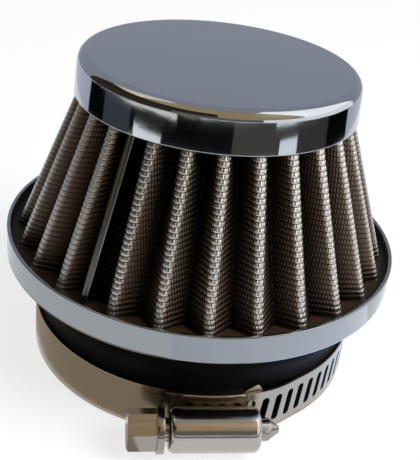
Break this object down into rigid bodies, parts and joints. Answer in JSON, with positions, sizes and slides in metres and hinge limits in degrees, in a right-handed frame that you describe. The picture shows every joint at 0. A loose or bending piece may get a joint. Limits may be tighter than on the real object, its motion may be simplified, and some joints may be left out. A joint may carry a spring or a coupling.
{
  "type": "clamp-on cone air filter",
  "caption": "Tapered pleated wire-cloth air filter with a plated cap and base ring and a rubber neck closed by a worm-drive hose clamp.",
  "frame": {"origin": "centre of the rubber neck's mouth", "axes": "+Z along the neck's bore towards the cap, clamp screw along X on the -Y side"},
  "size_m": [0.081, 0.0836, 0.0644],
  "materials": {
    "chrome_plate": "bright plated pressed steel",
    "steel_cloth": "fine woven steel wire",
    "cotton_gauze": "oiled cotton gauze",
    "potting_resin": "dark cast adhesive",
    "clip_steel": "folded steel strip",
    "neck_rubber": "smooth moulded rubber",
    "clamp_steel": "bright rolled strip",
    "screw_steel": "plated turned steel"
  },
  "bodies": {
    "filter": {"top_cap": "chrome_plate", "cap_potting": "potting_resin", "outer_mesh": "steel_cloth", "filter_gauze": "cotton_gauze", "inner_mesh": "steel_cloth", "seam_clip": "clip_steel", "base_pan": "chrome_plate", "base_potting": "potting_resin", "rubber_neck": "neck_rubber", "clamp_band": "clamp_steel", "clamp_saddle": "clamp_steel", "clamp_housing": "clamp_steel"},
    "screw": {"clamp_screw": "screw_steel"}
  },
  "joints": [
    {"name": "clamp_screw_turn", "type": "hinge", "parent": "filter", "child": "screw", "pos_m": [0, -0.0386, 0.0055], "axis": [1, 0, 0], "continuous": true}
  ]
}
